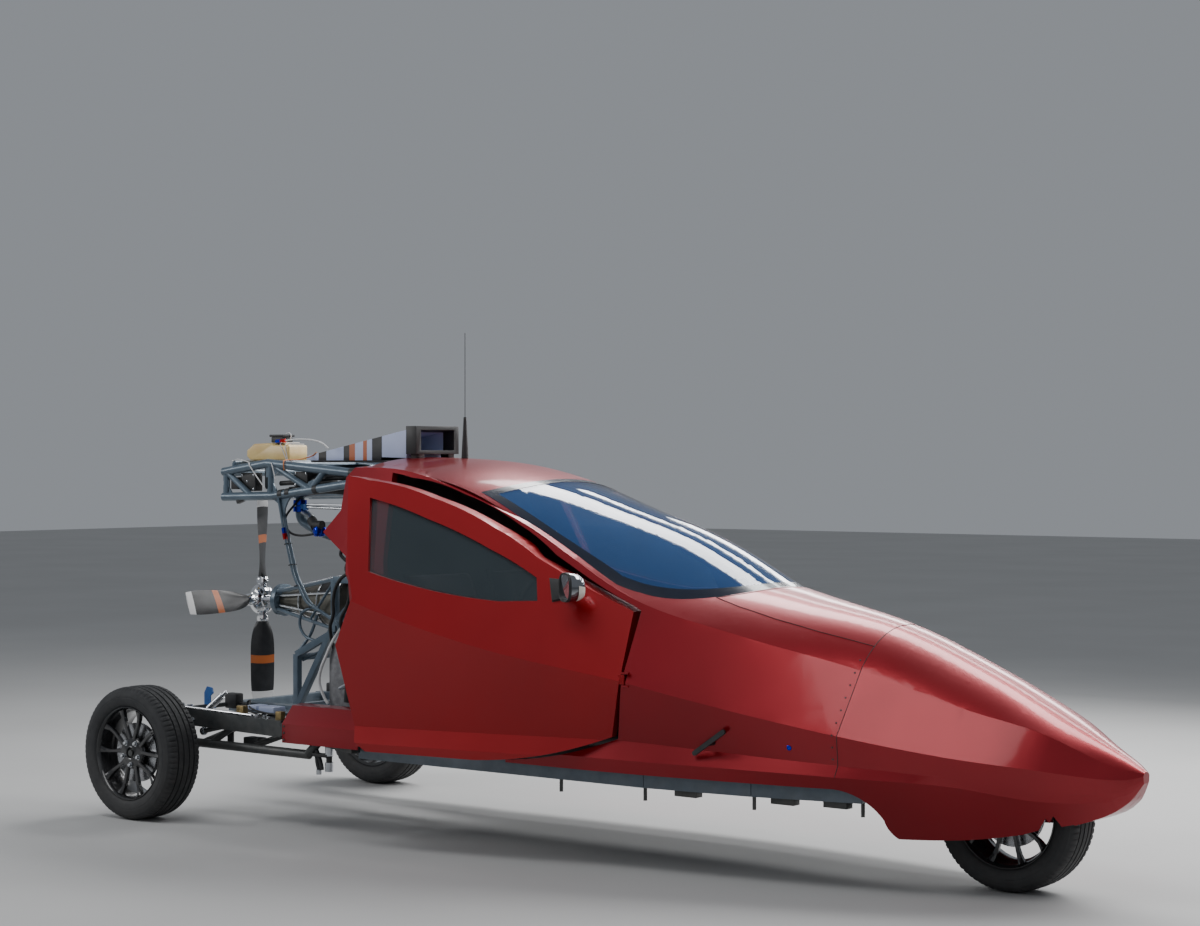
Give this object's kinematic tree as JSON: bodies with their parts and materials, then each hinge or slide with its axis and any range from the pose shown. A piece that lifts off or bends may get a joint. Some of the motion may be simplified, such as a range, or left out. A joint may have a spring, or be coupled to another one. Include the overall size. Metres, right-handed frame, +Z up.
{
  "type": "three-wheeled flying car with an open rear frame and pusher propeller",
  "caption": "Two-seat roadable aircraft on three wheels: red pointed cabin shell, single steered nose wheel, open tube frame aft, pusher propeller, hinged doors.",
  "frame": {"origin": "on the ground at the middle of the bounding box's base, on the centre plane", "axes": "+X forward to the nose, +Y to the left side, +Z up"},
  "size_m": [5.0998, 1.9203, 2.2999],
  "materials": {
    "body_paint": "glossy candy red clear coat",
    "door_paint": "glossy red, a little more orange than the body",
    "frame_paint": "blue-grey satin paint on welded tube",
    "dark_steel": "satin black-grey",
    "glazing": "clear, lightly tinted",
    "tyre_rubber": "matt black",
    "rim_black": "gloss black",
    "disc_steel": "turned steel",
    "bare_aluminium": "machined",
    "cast_engine": "rough cast with dark fittings",
    "black_plastic": "fine grained",
    "interior_trim": "soft touch",
    "seat_cloth": "woven cloth",
    "tank_plastic": "yellowed translucent plastic",
    "scoop_sheet": "pale sheet with black tape bands",
    "blade_black": "carbon fibre",
    "chrome_shell": "polished",
    "blue_anodised": "blue anodised"
  },
  "bodies": {
    "airframe": {"cabin_shell": "body_paint", "front_body": "body_paint", "hood_hatch": "body_paint", "nose_cone": "body_paint", "windshield": "glazing", "cabin_tub": "interior_trim", "bulkhead": "interior_trim", "seat_frames": "interior_trim", "seat_cushions": "seat_cloth", "dashboard": "interior_trim", "steering_wheel": "black_plastic", "belly_frame": "frame_paint", "belly_fittings": "dark_steel", "rear_knuckles": "dark_steel", "trailing_arms": "dark_steel", "stub_fairings": "body_paint", "side_vanes": "dark_steel", "chassis_rails": "frame_paint", "engine_block": "cast_engine", "tower_frame": "frame_paint", "drive_housing": "cast_engine", "upper_truss": "frame_paint", "header_tank": "tank_plastic", "air_scoop": "scoop_sheet", "antenna": "black_plastic", "service_pipes": "frame_paint", "pipe_couplers": "blue_anodised"},
    "left_door": {"door_left": "door_paint", "door_window_left": "glazing"},
    "right_door": {"door_right": "door_paint", "door_window_right": "glazing", "mirror_right": "chrome_shell"},
    "steering_fork": {"front_fork": "dark_steel"},
    "front_wheel": {"front_tyre": "tyre_rubber", "front_rim": "rim_black", "front_brake_disc": "disc_steel"},
    "rear_left_wheel": {"rear_left_tyre": "tyre_rubber", "rear_left_rim": "rim_black", "rear_left_brake_disc": "disc_steel"},
    "rear_right_wheel": {"rear_right_tyre": "tyre_rubber", "rear_right_rim": "rim_black", "rear_right_brake_disc": "disc_steel"},
    "propeller": {"propeller_hub": "bare_aluminium", "propeller_blades": "blade_black"}
  },
  "joints": [
    {"name": "left_door_hinge", "type": "hinge", "parent": "airframe", "child": "left_door", "pos_m": [0.566, 0.705, 0.8], "axis": [0, 0, -1], "range_deg": [0, 60]},
    {"name": "right_door_hinge", "type": "hinge", "parent": "airframe", "child": "right_door", "pos_m": [0.566, -0.705, 0.8], "axis": [0, 0, 1], "range_deg": [-11, 49]},
    {"name": "steering", "type": "hinge", "parent": "airframe", "child": "steering_fork", "pos_m": [1.986, 0, 0.735], "axis": [0, 0, 1], "range_deg": [-20, 20]},
    {"name": "front_wheel_spin", "type": "hinge", "parent": "steering_fork", "child": "front_wheel", "pos_m": [1.986, 0, 0.316], "axis": [0, 1, 0], "continuous": true},
    {"name": "rear_left_wheel_spin", "type": "hinge", "parent": "airframe", "child": "rear_left_wheel", "pos_m": [-2.234, 0.83, 0.316], "axis": [0, 1, 0], "continuous": true},
    {"name": "rear_right_wheel_spin", "type": "hinge", "parent": "airframe", "child": "rear_right_wheel", "pos_m": [-2.234, -0.83, 0.316], "axis": [0, 1, 0], "continuous": true},
    {"name": "propeller_spin", "type": "hinge", "parent": "airframe", "child": "propeller", "pos_m": [-2.274, 0, 1.005], "axis": [1, 0, 0], "continuous": true}
  ]
}
